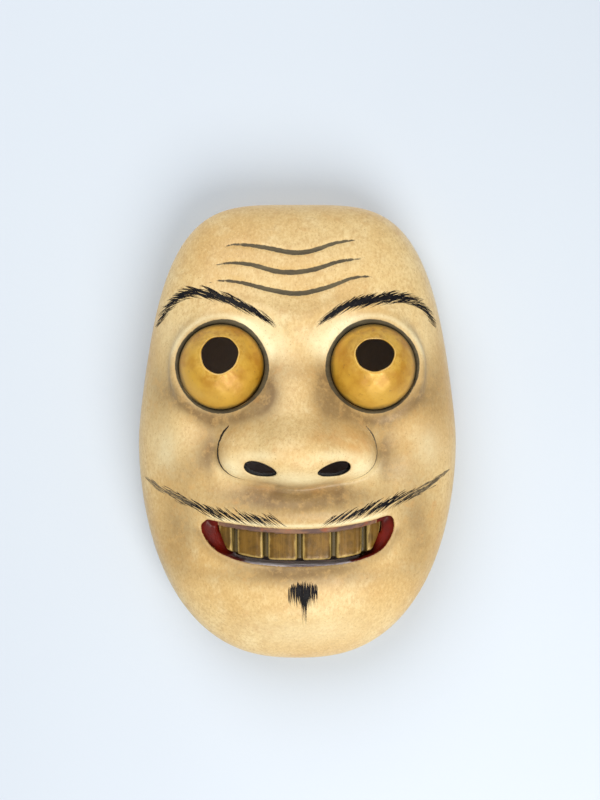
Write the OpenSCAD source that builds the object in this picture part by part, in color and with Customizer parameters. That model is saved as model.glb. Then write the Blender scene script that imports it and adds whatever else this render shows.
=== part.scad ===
// Noh mask: a carved cypress shell, two gilt copper eye plates and six gilt tooth caps.
// Millimetres. +Z is up the face, the face looks along -Y and the rear rim lies in the plane y = 0.
// The origin is on the rim plane, midway up the mask. "Left" and "right" are the mask's own.

/* [Shell] */
// Height of the crown above the origin
crown_z = 105; // [98:1:114]
// Depth of the chin below the origin
chin_z = 105; // [98:1:112]
// Half of the width at the cheeks
half_w = 73.5; // [68:0.5:80]
// How far the widest line lies in front of the rear rim
side_d = 17; // [14:1:20]
// How far the plain dome stands in front of the rear rim
dome_d = 51; // [46:1:56]
// Thickness of the wood behind the face
face_wall = 14; // [12:0.5:15]
// Width of the flat rear rim
rim_w = 8.5; // [7:0.5:11]

/* [Eyes] */
// Distance of each eye from the middle
eye_x = 33.4; // [31:0.2:36]
// Height of the eyes
eye_z = 29; // [26:0.5:32]
// Radius of the socket that an eye plate is let into
socket_r = 19; // [17:0.5:20]
// How far the socket's ledge stands in front of the rear rim
ledge_d = 40; // [39:0.5:41]
// How far the eyeball's apex stands in front of the rear rim
eyeball_d = 62; // [59:0.5:64]
// Height of an eye plate's straight foot
foot_h = 9; // [7:0.5:10]
// Thickness of the beaten eye plate
plate_t = 2; // [1.5:0.1:3]
// Diameter of the pupil that the wearer looks through
pupil_d = 16; // [12:0.5:18]
// Height of the pupil above the middle of the eye
pupil_up = 5; // [2:0.5:6]

/* [Nose] */
// Height of the nose tip
nose_z = -11; // [-14:0.5:-8]
// How far the tip stands proud of the dome
nose_out = 26; // [22:1:30]
// Half of the width over the nostril wings
wing_x = 35; // [31:0.5:37]
// Diameter of a nostril
nostril_d = 6.5; // [5:0.5:7.5]

/* [Mouth] */
// Half of the width of the mouth
mouth_x = 42; // [38:0.5:44]
// Mean height of the upper lip's edge
mouth_z = -41; // [-43:0.5:-39]
// How far the middle of the lower lip's edge lies below mouth_z
lip_drop = 16; // [15:0.5:17]
// Width of a middle tooth cap
tooth_w = 12.2; // [11:0.2:13]
// Gap between two tooth caps
tooth_gap = 2.2; // [1.6:0.1:2.6]
// How far the tooth edges lie below mouth_z on average
tooth_drop = 13.5; // [12:0.5:14]

/* [Cord holes] */
// Diameter of the holes for the tie cords
cord_d = 6; // [4:0.5:8]
// Height of the cord holes
cord_z = 24; // [18:1:30]
// How far the cord holes lie in front of the rear rim
cord_depth = 13; // [10:0.5:16]

/* [Hidden] */
$fn = 96;

skin_colour = "#e1c387";
gilt_colour = "#c99a3c";
tooth_colour = "#b08a3a";

rows = 52;           // steps of the outer skin across the face, a multiple of 4
fine = 2;            // steps of the outer skin for each step of the inner skin
cut = 100;           // length of the through cutters
over = 1;            // how far a short cutter runs past the face that it cuts
fit = 0.15;          // clearance round an eye plate in its socket
tooth_fit = 0.1;     // clearance behind a tooth cap

// The plain shell
waist_z = -5;        // height of the widest line
crown_taper = 0.2;   // how much the head narrows from the widest line to the crown
chin_taper = 0.09;   // and to the chin
waist_soft = 0.1;    // rounds the outline where the two tapers meet
crown_square = 4;    // exponent of the outline above the widest line
chin_square = 2.5;   // and below it
dome_square = 2.7;   // exponent of the dome's cross-sections
wrap = 104;          // degrees from the middle of the face round to the rear rim
skin_fade = 0.55;    // where the features begin to fade into the plain dome, from 0 at its middle to 1
hollow_fade = 0.35;  // the same in the hollow
fade_end = 0.9;      // where they have faded out

// Soft mounds and dips: [height, x, z, half width, half height]. One off the middle is on both sides.
brow_ridge = [6, 29, 55, 24, 9];
glabella = [3, 0, 54, 14, 13];
eye_dip = [-4, eye_x - 11, eye_z - 8, 14, 20];
cheek = [5, 52, -6, 15, 18];
cheek_dip = [-3, 52, -45, 14, 18];
upper_lip = [7, 0, mouth_z + 8, 42, 12];
lower_lip = [5, 0, mouth_z - 20, 40, 9];
chin = [9, 0, -83, 34, 16];
bridge = [10, 0, 12, 17, 23];
nose_hollow = [14, 0, nose_z + 4, 18, 18];
brow_hollow = [2, 0, 50, 40, 14];

// The nose
mound_round = 0.65;             // exponent of the rounded tip and wings, 0.5 for an ellipsoid
tip_size = [23, 18];            // half width and half height of the tip
wing_size = [17, 15];           // half width and half height of a wing
wing_out = 0.62 * nose_out;     // how far a wing stands proud of the dome
wing_mid = wing_x - 15;         // distance of a wing from the middle
nose_blend = 8;                 // how softly the wings join the tip
bridge_blend = 10;              // how softly the bridge joins them
nostril_x = 0.44 * wing_x;
nostril_z = nose_z - 5;
nostril_long = 0.9 * nostril_d; // how much longer than wide a nostril is
nostril_turn = 12;              // degrees that its outer end is turned up

// The eyes
hole_r = socket_r - 3.5;        // the hole through the wood behind an eye plate

// The mouth
lip_rise = 3.5;                 // how far the upper lip's edge rises from its middle to the corners
lip_dip = 1;                    // how far its middle lies below mouth_z
corner_square = 3.2;            // exponents of the lower lip's edge
corner_round = 0.55;
corner_d = 43;                  // depth of the recess at the mouth corners
inner_mouth_x = mouth_x - 9;    // half width of the mouth where it goes through the wood

// The teeth
arch_r = 76;                                     // radius of the dental arch
arch_d = 47;                                     // how far the arch's front stands before the rim
arch_half = 30;                                  // degrees of the arch either side of the middle
tooth_t = 5;                                     // thickness of a tooth cap
tooth_ws = [tooth_w, tooth_w - 1, tooth_w - 6];  // widths, from the middle outwards
tooth_lifts = [0, 1, 3.5];                       // how much higher each tooth's edge is than the first's
tooth_z = mouth_z - tooth_drop - 1.5;            // height of the middle teeth's edges, below the average
tooth_turn = 0.8;                                // degrees that the row sits off the middle
seat_z = mouth_z + 6;                            // the ceiling that the tooth caps stand against
seat_in = 1;                                     // how far the seat is cut in behind the tooth caps
seat_out = tooth_t + 0.4;                        // how far the seat is cut in front of the arch
seat_low = mouth_z - 5;                          // where the seat's cut ends inside the mouth
bar_z = mouth_z - tooth_drop + 1;                // the lower edge of the bar behind the teeth
bar_top = seat_z + 4;                            // its upper edge, inside the wood
bar_t = 5;                                       // its thickness

// ---- outline and dome ----

// A point of the unit square moved onto the unit disc.
function on_disc(u, v) = [u * sqrt(1 - v * v / 2), v * sqrt(1 - u * u / 2)];

// The outline's point in the direction of p, for half axes a (sideways), up and down.
function outline(p, a, up, down) =
    let (
        turn = atan2(p[1], p[0]), c = cos(turn), s = sin(turn), top = s > 0,
        n = top ? crown_square : chin_square, b = top ? up : down,
        k = pow(pow(abs(c) / a, n) + pow(abs(s) / b, n), -1 / n),
        t = norm([k * s / b, waist_soft]) - waist_soft
    )
    [k * c * (1 - (top ? crown_taper : chin_taper) * t), k * s];

// The plain dome's point at p on the disc: [x, depth, z].
function dome(p) =
    let (
        turn = norm(p) * wrap, r = sin(turn),
        edge = outline(p, half_w, crown_z - waist_z, chin_z + waist_z),
        front = pow(max(1 - pow(r, dome_square), 0), 1 / dome_square),
        d = turn < 90 ? side_d + (dome_d - side_d) * front : side_d * (wrap - turn) / (wrap - 90)
    )
    [r * edge[0], d, r * edge[1] + waist_z];

// The hollow's point at p on the disc, down to the rim plane.
function hollow(p) =
    let (
        r = sin(norm(p) * 90), inset = sin(wrap),
        edge = outline(p, half_w * inset - rim_w, (crown_z - waist_z) * inset - rim_w,
            (chin_z + waist_z) * inset - rim_w),
        front = pow(max(1 - pow(r, dome_square), 0), 1 / dome_square)
    )
    [r * edge[0], (dome_d - face_wall) * front, r * edge[1] + waist_z];

// ---- features, as heights above the dome ----

function bump(x, z, cx, cz, rx, rz) = exp(-pow((x - cx) / rx, 2) - pow((z - cz) / rz, 2));

// The height of mound m at x and z.
function mound(x, z, m) =
    m[0] * (bump(x, z, m[1], m[2], m[3], m[4]) + (m[1] == 0 ? 0 : bump(x, z, -m[1], m[2], m[3], m[4])));

// A rounded mound that ends at its edge, 1 high.
function ball(x, z, cx, cz, size) =
    pow(max(1 - pow((x - cx) / size[0], 2) - pow((z - cz) / size[1], 2), 0), mound_round);

// The larger of a and b, rounded over where they are less than k apart.
function blend(a, b, k) = max(a, b) + pow(max(k - abs(a - b), 0), 2) / (4 * k);

function nose(x, z) =
    let (
        tip = nose_out * ball(x, z, 0, nose_z, tip_size),
        wing = wing_out * ball(abs(x), z, wing_mid, nose_z + 3, wing_size)
    )
    blend(blend(tip, wing, nose_blend), mound(x, z, bridge), bridge_blend);

function brow(x, z) = mound(x, z, brow_ridge) + mound(x, z, glabella);
function cheeks(x, z) = mound(x, z, cheek) + mound(x, z, cheek_dip);
function lips(x, z) = mound(x, z, upper_lip) + mound(x, z, lower_lip);

function features(x, z) =
    nose(x, z) + brow(x, z) + mound(x, z, eye_dip) + cheeks(x, z) + lips(x, z) + mound(x, z, chin);

// The hollow follows the nose and the brows loosely.
function hollow_features(x, z) = mound(x, z, nose_hollow) + mound(x, z, brow_hollow);

function fade(p, from) =
    let (t = min(max((norm(p) - from) / (fade_end - from), 0), 1))
    1 - t * t * (3 - 2 * t);

function skin_point(p) = let (d = dome(p)) [d[0], -d[1] - fade(p, skin_fade) * features(d[0], d[2]), d[2]];
function hollow_point(p) =
    let (d = hollow(p)) [d[0], -d[1] - fade(p, hollow_fade) * hollow_features(d[0], d[2]), d[2]];

// ---- the shell's mesh ----

// The points of an n by n grid laid on the unit disc, row by row.
function disc_grid(n) = [for (j = [0 : n], i = [0 : n]) on_disc(2 * i / n - 1, 2 * j / n - 1)];

// The points round the edge of an n by n grid, counted from one corner.
function edge_points(n) = concat(
    [for (i = [0 : n - 1]) i],
    [for (j = [0 : n - 1]) j * (n + 1) + n],
    [for (i = [0 : n - 1]) n * (n + 1) + n - i],
    [for (j = [0 : n - 1]) (n - j) * (n + 1)]
);

// Two triangles for each cell of an n by n grid of points that starts at point k. The diagonals
// mirror about the middle of the face.
function cell_faces(n, k, inward) = [
    for (j = [0 : n - 1], i = [0 : n - 1])
        let (
            a = k + j * (n + 1) + i, b = a + 1, c = b + n + 1, d = a + n + 1,
            two = (i < n / 2) == (j < n / 2) ? [[a, b, c], [a, c, d]] : [[a, b, d], [b, c, d]]
        )
        for (f = two) inward ? [f[0], f[2], f[1]] : f
];

module carved_block() {
    inner = rows / fine;
    skin = [for (p = disc_grid(rows)) skin_point(p)];
    back = [for (p = disc_grid(inner)) hollow_point(p)];
    k = len(skin);
    out = edge_points(rows);
    in = edge_points(inner);
    rim = [
        for (i = [0 : len(in) - 1])
            let (
                a = k + in[i], b = k + in[(i + 1) % len(in)], p = out[fine * i],
                q = out[fine * i + 1], r = out[(fine * i + 2) % len(out)]
            )
            for (f = [[p, q, a], [q, b, a], [q, r, b]]) f
    ];
    polyhedron(concat(skin, back), concat(cell_faces(rows, 0, true), cell_faces(inner, k, false), rim));
}

// ---- cutters and bars ----

// Stands its children up on the plane at depth d, facing along -Y.
module along_y(x, z, d = 0) {
    translate([x, -d, z])
        rotate([90, 0, 0])
            children();
}

module eye_socket(side) {
    along_y(side * eye_x, eye_z, ledge_d)
        cylinder(h = cut, r = socket_r);
    along_y(side * eye_x, eye_z)
        cylinder(h = cut, r = hole_r);
}

module nostril(side) {
    along_y(side * nostril_x, nostril_z)
        rotate(side * nostril_turn)
            linear_extrude(cut) {
                square([nostril_long, nostril_d], center = true);
                for (end = [-1, 1])
                    translate([end * nostril_long / 2, 0])
                        circle(d = nostril_d);
            }
}

// The height of the upper and of the lower edge of the mouth at x, for a mouth of half width w.
function upper_edge(x, w) = mouth_z + lip_rise * pow(x / w, 2) - lip_dip;
function lower_edge(x, w) =
    upper_edge(w, w)
    - (lip_drop + lip_rise - lip_dip) * pow(max(1 - pow(abs(x / w), corner_square), 0), corner_round);

module mouth_outline(w) {
    steps = 24;
    xs = [for (i = [0 : steps]) w * sin(90 * (2 * i / steps - 1))];
    polygon(concat(
        [for (x = xs) [x, lower_edge(x, w)]],
        [for (i = [steps - 1 : -1 : 1]) [xs[i], upper_edge(xs[i], w)]]
    ));
}

module mouth() {
    along_y(0, 0, corner_d)
        linear_extrude(cut)
            mouth_outline(mouth_x);
    along_y(0, 0)
        linear_extrude(cut)
            mouth_outline(inner_mouth_x);
}

// A wall on the dental arch from radius r0 to r1, between heights z0 and z1 and angles a0 and a1.
module arch(r0, r1, z0, z1, a0, a1) {
    far = 2 * arch_r;
    translate([0, arch_r - arch_d, z0])
        linear_extrude(z1 - z0)
            intersection() {
                difference() {
                    circle(r = r1);
                    circle(r = r0);
                }
                polygon([[0, 0], [far * sin(a0), -far * cos(a0)], [far * sin(a1), -far * cos(a1)]]);
            }
}

// ---- drawing ----

module mask_shell() {
    color(skin_colour) {
        difference() {
            carved_block();
            for (side = [-1, 1]) {
                eye_socket(side);
                nostril(side);
            }
            mouth();
            arch(arch_r - seat_in, arch_r + seat_out, seat_low, seat_z, -arch_half, arch_half);
            translate([0, -cord_depth, cord_z])
                rotate([0, 90, 0])
                    cylinder(h = 2 * cut, d = cord_d, center = true);
        }
        arch(arch_r - bar_t, arch_r, bar_z, bar_top, -arch_half, arch_half);
    }
}

// A domed plate with a flat foot that rests on the socket's ledge. The pupil is bored through it.
module eye_plate(side) {
    foot_r = socket_r - fit;
    rise = eyeball_d - ledge_d - foot_h;
    dome_r = (pow(foot_r, 2) + pow(rise, 2)) / (2 * rise);
    centre = foot_h + rise - dome_r;
    color(gilt_colour)
        difference() {
            along_y(side * eye_x, eye_z, ledge_d)
                difference() {
                    intersection() {
                        translate([0, 0, centre])
                            sphere(r = dome_r);
                        cylinder(h = foot_h + rise, r = foot_r);
                    }
                    intersection() {
                        translate([0, 0, centre])
                            sphere(r = dome_r - plate_t);
                        translate([0, 0, -over])
                            cylinder(h = foot_h + rise, r = foot_r - plate_t);
                    }
                }
            along_y(side * eye_x, eye_z + pupil_up)
                cylinder(h = cut, d = pupil_d);
        }
}

// Angle on the arch of the middle of tooth n, counted outwards from the middle of the mouth.
function tooth_mid(n) =
    n == 0 ? (tooth_gap + tooth_ws[0]) / 2
    : tooth_mid(n - 1) + (tooth_ws[n - 1] + tooth_ws[n]) / 2 + tooth_gap;

module upper_tooth(n, side) {
    to_deg = 180 / PI / arch_r;
    mid = side * tooth_mid(n) * to_deg + tooth_turn;
    half = tooth_ws[n] / 2 * to_deg;
    color(tooth_colour)
        arch(arch_r + tooth_fit, arch_r + tooth_t, tooth_z + tooth_lifts[n], seat_z, mid - half, mid + half);
}

mask_shell();
eye_plate(1);  // left_eye_plate
eye_plate(-1);  // right_eye_plate
upper_tooth(2, -1);  // upper_tooth_1
upper_tooth(1, -1);  // upper_tooth_2
upper_tooth(0, -1);  // upper_tooth_3
upper_tooth(0, 1);  // upper_tooth_4
upper_tooth(1, 1);  // upper_tooth_5
upper_tooth(2, 1);  // upper_tooth_6
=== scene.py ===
"""A carved and painted noh mask, seen from the front as it lies or hangs on its rear rim.

The carved wood is sculpted as a signed distance field in millimetres and meshed with OpenVDB. The
painted lines are distances stored on its vertices, and each painted hair is a thin stroke of ink that
follows the surface. X is the mask's left, -Y the way it looks and +Z its crown."""

import math
import random

import bmesh
import bpy
import numpy as np
import openvdb as vdb
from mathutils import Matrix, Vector
from mathutils.bvhtree import BVHTree


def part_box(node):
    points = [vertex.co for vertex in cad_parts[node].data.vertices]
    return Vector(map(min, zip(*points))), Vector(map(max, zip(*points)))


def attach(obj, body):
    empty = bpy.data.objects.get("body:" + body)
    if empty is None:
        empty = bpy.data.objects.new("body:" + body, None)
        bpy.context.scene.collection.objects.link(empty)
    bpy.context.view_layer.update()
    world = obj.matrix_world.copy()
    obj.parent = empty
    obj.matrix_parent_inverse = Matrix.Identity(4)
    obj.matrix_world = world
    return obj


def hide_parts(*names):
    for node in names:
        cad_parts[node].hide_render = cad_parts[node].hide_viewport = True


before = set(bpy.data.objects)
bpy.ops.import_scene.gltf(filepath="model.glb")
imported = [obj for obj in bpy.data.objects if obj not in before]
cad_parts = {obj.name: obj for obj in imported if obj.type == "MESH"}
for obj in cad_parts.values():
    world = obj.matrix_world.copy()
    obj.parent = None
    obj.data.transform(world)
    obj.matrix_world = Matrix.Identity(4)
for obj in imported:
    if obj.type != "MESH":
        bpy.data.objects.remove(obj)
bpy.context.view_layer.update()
MM = 0.001


def box_mm(node):
    """A CAD node's lowest and highest corners in millimetres."""
    low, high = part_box(node)
    return np.array(low) / MM, np.array(high) / MM


# ---- sizes taken from the frame, in millimetres ----

SHELL_LO, SHELL_HI = box_mm("mask_shell")
EYE_LO, EYE_HI = box_mm("left_eye_plate")
HALF_W = SHELL_HI[0]
CROWN, CHIN = SHELL_HI[2], -SHELL_LO[2]
EYE_X, EYE_Z = (EYE_LO[0] + EYE_HI[0]) / 2, (EYE_LO[2] + EYE_HI[2]) / 2
EYE_R = (EYE_HI[0] - EYE_LO[0]) / 2
LEDGE, APEX = -EYE_HI[1], -EYE_LO[1]
TOOTH_LO, TOOTH_HI = box_mm("upper_tooth_4")
TOOTH_EDGE, TOOTH_SEAT = TOOTH_LO[2], TOOTH_HI[2]
TEETH = ["upper_tooth_%d" % n for n in range(1, 7)]
ROW_LO, ROW_HI = box_mm(TEETH[0])[0][0], box_mm(TEETH[-1])[1][0]

# ---- the carving's own dimensions, as part.scad has them ----

WAIST_Z = -5.0  # height of the widest line
SIDE_D = 17.0  # depth of the widest line before the rear rim
DOME_D = 51.0  # depth of the plain dome
HOLLOW_D = 37.0  # depth of the hollow
RIM_W = 8.5  # width of the rear rim
SUPER = 2.7  # how square the dome and the hollow are in section, where 2 is an ellipse
WRAP = 104.0  # degrees from the middle of the face to the rear rim
MOUTH_Z = -41.0  # mean height of the upper lip's edge
ARCH_R, ARCH_D, TOOTH_T = 76.0, 47.0, 5.0  # dental arch: radius, depth and a tooth cap's thickness
ARCH_Y = ARCH_R - ARCH_D  # the dental arch's centre
PLATE_T = 2.0  # thickness of an eye plate
EYE_STRAIGHT = 9.0  # height of an eye plate's straight foot
PUPIL_UP = 5.0  # height of the pupil above the plate's middle
SOCKET_GAP = 0.15  # clearance round an eye plate
EYE_SEAT = 3.35  # how far the ledge reaches in under an eye plate
NOSTRIL_TURN = math.radians(12)  # how far a nostril's outer end is turned up
CORD_R, CORD_Z, CORD_D = 3.0, 24.0, 13.0  # cord hole: radius, height and depth before the rim

# ---- finer shapes that part.scad has plainer or not at all ----

LID_RISE = -1.0  # height of the ring of wood round an eye above the plate's edge, before blending
LID_ROUND = 2.6  # radius of that ring's section
OUTLINE_R = 19.75  # radius of the line painted round an eye
LIP_TURN = 2.4  # how far the upper lip's underside slants down towards the teeth
PUPIL_RADII = {-1: (8.2, 7.9), 1: (8.2, 7.3)}  # half width and half height, right and left
NOSTRIL_X, NOSTRIL_Z = 15.9, -15.4
NOSTRIL_LONG, NOSTRIL_TALL = 7.2, 3.5  # half length and half height
SEED = 4  # of the hairs' random draws

VOXEL = 0.8  # the distance field's step

# ---- distance field tools ----


def smooth_max(a, b, k):
    """The larger of a and b, with the edge between them rounded over about k millimetres."""
    return np.maximum(a, b) + np.square(np.maximum(k - np.abs(a - b), 0)) / (4 * k)


def smooth_min(a, b, k):
    """The smaller of a and b, rounded in the same way."""
    return -smooth_max(-a, -b, k)


def bump(x, z, cx, cz, rx, rz):
    """A soft bump, 1 at its middle."""
    return np.exp(-np.square((x - cx) / rx) - np.square((z - cz) / rz))


def pair(x, z, cx, cz, rx, rz):
    """The same bump on both sides of the face."""
    return bump(x, z, cx, cz, rx, rz) + bump(x, z, -cx, cz, rx, rz)


def smooth_step(t):
    t = np.clip(t, 0, 1)
    return t * t * (3 - 2 * t)


def curve_points(points, step=0.5):
    """A Catmull-Rom curve through the points, sampled about every step."""
    p = np.array([points[0]] + list(points) + [points[-1]], dtype=float)
    p[0] = 2 * p[1] - p[2]
    p[-1] = 2 * p[-2] - p[-3]
    out = []
    for i in range(1, len(p) - 2):
        n = max(2, int(np.linalg.norm(p[i + 1] - p[i]) / step))
        t = np.linspace(0, 1, n, endpoint=False)[:, None]
        a, b, c, d = p[i - 1 : i + 3]
        curve = 2 * b + (c - a) * t + (2 * a - 5 * b + 4 * c - d) * t**2
        out.append(0.5 * (curve + (3 * b - a - 3 * c + d) * t**3))
    out.append(p[-2][None, :])
    return np.concatenate(out)


def curve_distance(x, z, line):
    """Distance to a sampled curve from each point, and the place along it from 0 to 1."""
    shape = np.broadcast(x, z).shape
    px = np.broadcast_to(x, shape).reshape(-1).astype(np.float32)
    pz = np.broadcast_to(z, shape).reshape(-1).astype(np.float32)
    best = np.full(px.shape, 1e9, np.float32)
    at = np.zeros(px.shape, np.float32)
    for i, (cx, cz) in enumerate(line):
        d = (px - cx) ** 2 + (pz - cz) ** 2
        near = d < best
        best[near] = d[near]
        at[near] = i / (len(line) - 1)
    return np.sqrt(best).reshape(shape), at.reshape(shape)


def loop_distance(x, z, loop):
    """Signed distance to a closed curve, negative inside."""
    d, _ = curve_distance(x, z, loop)
    inside = np.zeros(d.shape, bool)
    for (ax, az), (bx, bz) in zip(loop, np.roll(loop, -1, axis=0)):
        if az != bz:
            inside ^= ((az > z) != (bz > z)) & (x < ax + (z - az) * (bx - ax) / (bz - az))
    return np.where(inside, -d, d)


# ---- the drawing on the face: curves in the frontal plane ----

WRINKLES = [
    curve_points([(-34, 82), (-28, 84), (-15.5, 82.6), (-2, 80), (7, 81), (18, 84.8), (29.5, 86.4)]),
    curve_points(
        [(-39.5, 74), (-30, 75.4), (-20, 74.4), (-10, 71.6), (-2, 71), (7.5, 72.3), (19, 76), (33, 78)]
    ),
    curve_points(
        [
            (-40.5, 66.2), (-34, 67.4), (-24, 66.2), (-11.5, 63),
            (0.5, 61.4), (12.5, 64), (26, 68.8), (38, 69.2),
        ]
    ),
]
BROW_RIGHT = [
    (-62.5, 49), (-60.5, 53), (-57, 57.2), (-51, 61.2),
    (-43, 62), (-33, 59.4), (-23.5, 55.6), (-12.3, 49.2),
]
BROW_LEFT = [
    (61, 49), (59.5, 52.6), (56.5, 55.8), (50.5, 59.2),
    (42, 59.8), (31.5, 58.2), (20.5, 55.4), (11.7, 49.8),
]
MOUSTACHE_RIGHT = [(-68, -21.5), (-54.5, -28), (-40.5, -34.2), (-26.5, -37.2), (-7.6, -38.4)]
MOUSTACHE_LEFT = [(67.5, -18), (55.5, -25.6), (41, -30.6), (26.2, -35.2), (12.6, -38.5)]
WING_CREASE = [(-30, 3.2), (-33.4, -1.5), (-34.9, -7.5), (-33.8, -13.5), (-29.5, -18.2), (-23, -20.6)]
MOUTH = curve_points(
    [
        (-39.8, -38.4), (-30, -39.9), (-15, -41.5), (1, -42.1), (17, -41.3), (31, -39), (40.4, -36.8),
        (42.7, -40), (41.4, -46), (36, -52.6), (24, -56.8), (8, -58.3), (-8, -58.3), (-24, -56.6),
        (-36, -52), (-41.4, -45.6), (-42.3, -41), (-39.8, -38.4),
    ]
)


def lip_edge(x):
    """The height of the upper lip's edge at x."""
    upper = MOUTH[: np.argmax(MOUTH[:, 0])]
    return np.interp(x, upper[:, 0], upper[:, 1])


def wrinkle_depth(x, z):
    """The groove that is cut along each forehead wrinkle, shallower at its ends."""
    cut = 0
    for line in WRINKLES:
        d, t = curve_distance(x, z, line[::3])
        cut = cut + 0.7 * smooth_step(t / 0.12) * smooth_step((1 - t) / 0.12) * np.exp(-np.square(d / 1.3))
    return cut


# ---- soft mounds: (height or strength, x, z, half width, half height, which sides) ----

ONE, BOTH = bump, pair

# How far the carving stands above the plain dome, in millimetres.
RELIEF = [
    (4.6, 25, 51, 20, 8, BOTH),  # ridges of the brows
    (4.0, 0, 47, 15, 10, ONE),  # between the brows
    (-3.4, EYE_X - 14, EYE_Z - 9, 10, 14, BOTH),  # inner corners of the eyes
    (-2.4, EYE_X + 3, EYE_Z - 27, 22, 8, BOTH),  # under the eyes
    (4.6, 50, -6, 15, 17, BOTH),  # cheekbones
    (-2.6, 54, -44, 11, 16, BOTH),  # hollows of the cheeks
    (8.0, 0, -34.5, 42, 11, ONE),  # upper lip
    (4.0, 0, -62, 42, 9, ONE),  # lower lip
    (8.0, 0, -82, 34, 17, ONE),  # chin
    (1.5, 0, 80, 40, 18, ONE),  # forehead
]
# Painted highlights: where the colour is lightened as if lit.
PAINTED_HIGHLIGHTS = [
    (0.9, 21, 46, 9, 6, BOTH),  # above the eyes
    (0.8, 10, 39, 7, 7, BOTH),  # below the brows' inner ends
    (0.7, 0, -19.5, 17, 3.2, ONE),  # under the nose's tip
    (0.8, 28, -15.5, 7, 5, BOTH),  # under its wings
    (0.6, 16, -9.5, 10, 2.2, BOTH),  # above the nostrils
    (0.35, 8, -88, 30, 10, ONE),  # chin
    (0.3, 57, 42, 6, 14, BOTH),  # temples
    (0.5, 58, -6, 7, 9, BOTH),  # cheekbones
]
# Where the paint is shaded.
SHADE = [
    (0.85, 14, 17, 7, 13, BOTH),  # sides of the bridge
    (0.55, 14, 17, 7, 12, ONE),  # more of it on the mask's left
    (0.3, 0, 27, 12, 5, ONE),  # top of the bridge
    (0.7, 39.5, -9, 5.5, 12, BOTH),  # beside the nose's wings
    (0.5, 37.5, -10, 2.6, 9, BOTH),  # the creases there
    (0.5, 48, -15, 10, 10, BOTH),  # cheeks
    (1.35, 0, -29, 34, 7.5, ONE),  # upper lip
    (0.5, 0, -26.5, 24, 3.2, ONE),  # under the nose
    (0.8, 14, -23, 6.5, 2.2, BOTH),  # under the nostrils
    (0.85, 54, -44, 9, 19, BOTH),  # hollows of the cheeks
    (1.0, 0, -62.8, 36, 4.4, ONE),  # under the mouth
    (0.7, 61, 18, 8, 20, BOTH),  # outer corners of the eyes
]
# Where the paint is stained brown.
WARM = [
    (0.7, 14, -1.5, 9, 5, ONE),  # left side of the nose
    (0.9, 27, -6, 6, 6, ONE),  # its left wing
    (0.6, -3, -9.5, 9, 3, ONE),  # its tip
    (0.9, 23, -15, 2.6, 3, BOTH),  # outer ends of the nostrils
    (0.7, 10, -24.5, 6, 2, ONE),  # under the nose on the left
    (0.6, -14, -24, 6, 2, ONE),  # and on the right, weaker
    (0.45, 55, -4, 10, 11, ONE),  # left cheekbone
]


def mounds(x, z, rows):
    """All the mounds of a list together."""
    total = 0
    for strength, cx, cz, rx, rz, sides in rows:
        total = total + strength * sides(x, z, cx, cz, rx, rz)
    return total


class Carving:
    """A block of wood as a distance field over a grid, negative inside."""

    def __init__(self):
        pad = 4.0
        low, high = SHELL_LO - pad, SHELL_HI + pad
        low[1] -= pad  # twice the room in front
        self.low = low
        axes = [np.arange(low[i], high[i], VOXEL, dtype=np.float32) for i in range(3)]
        self.axes = axes
        self.x, self.y, self.z = np.meshgrid(*axes, indexing="ij", sparse=True)
        self.d = -self.y  # how far in front of the rear rim's plane
        self.phi = None

    def outline(self, a, up, down):
        """1 on the outline with these half axes, less inside it."""
        above = self.z > WAIST_Z
        t = np.abs((self.z - WAIST_Z) / np.where(above, up, down))
        taper, n = np.where(above, 0.2, 0.09), np.where(above, 4.0, 2.5)
        soft = np.hypot(np.minimum(t, 1.2), 0.1) - 0.1
        wide = a * (1 - taper * soft)
        return np.power(np.power(np.abs(self.x) / wide, n) + np.power(t, n), 1 / n)

    def normalise(self, f):
        """Turns an implicit function into an approximate distance."""
        gx, gy, gz = np.gradient(f, VOXEL)
        size = np.sqrt(gx * gx + gy * gy + gz * gz)
        return f / np.maximum(size, 0.002)

    def dome(self):
        """The plain dome with its relief, cut off flat behind."""
        rho = self.outline(HALF_W, CROWN - WAIST_Z, CHIN + WAIST_Z)
        fade = 1 - smooth_step((rho - 0.72) / 0.26)
        relief = mounds(self.x, self.z, RELIEF) * fade - wrinkle_depth(self.x, self.z)
        d = self.d - relief
        rise = np.maximum(d - SIDE_D, 0) / (DOME_D - SIDE_D)
        front = np.power(np.power(rho, SUPER) + np.power(rise, SUPER), 1 / SUPER)
        turn = 90 + (WRAP - 90) * np.clip((SIDE_D - self.d) / SIDE_D, 0, 1.3)
        inset = 1 - np.sin(np.radians(turn))
        f = front - 1 + inset
        self.phi = self.normalise(f.astype(np.float32)).astype(np.float32)
        self.phi = smooth_max(self.phi, self.y, 1.2)

    def window(self, low, high):
        """The slices and coordinates of the grid's part between two corners."""
        cut = []
        for axis, lo, hi in zip(self.axes, low, high):
            i = int(np.clip(np.searchsorted(axis, lo), 0, len(axis) - 1))
            j = int(np.clip(np.searchsorted(axis, hi), i + 1, len(axis)))
            cut.append(slice(i, j))
        s = tuple(cut)
        return s, self.x[s[0]], self.y[:, s[1]], self.z[:, :, s[2]]

    def add(self, shape, low, high, k):
        s, x, y, z = self.window(low, high)
        self.phi[s] = smooth_min(self.phi[s], shape(x, y, z), k)

    def carve(self, shape, low, high, k):
        s, x, y, z = self.window(low, high)
        self.phi[s] = smooth_max(self.phi[s], -shape(x, y, z), k)

    def mesh(self):
        grid = vdb.FloatGrid()
        reach = 4 * VOXEL
        grid.copyFromArray(np.clip(self.phi, -reach, reach).astype(np.float32))
        points, quads = grid.convertToQuads(0.0)
        points = points * VOXEL + self.low
        return points, quads


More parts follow.
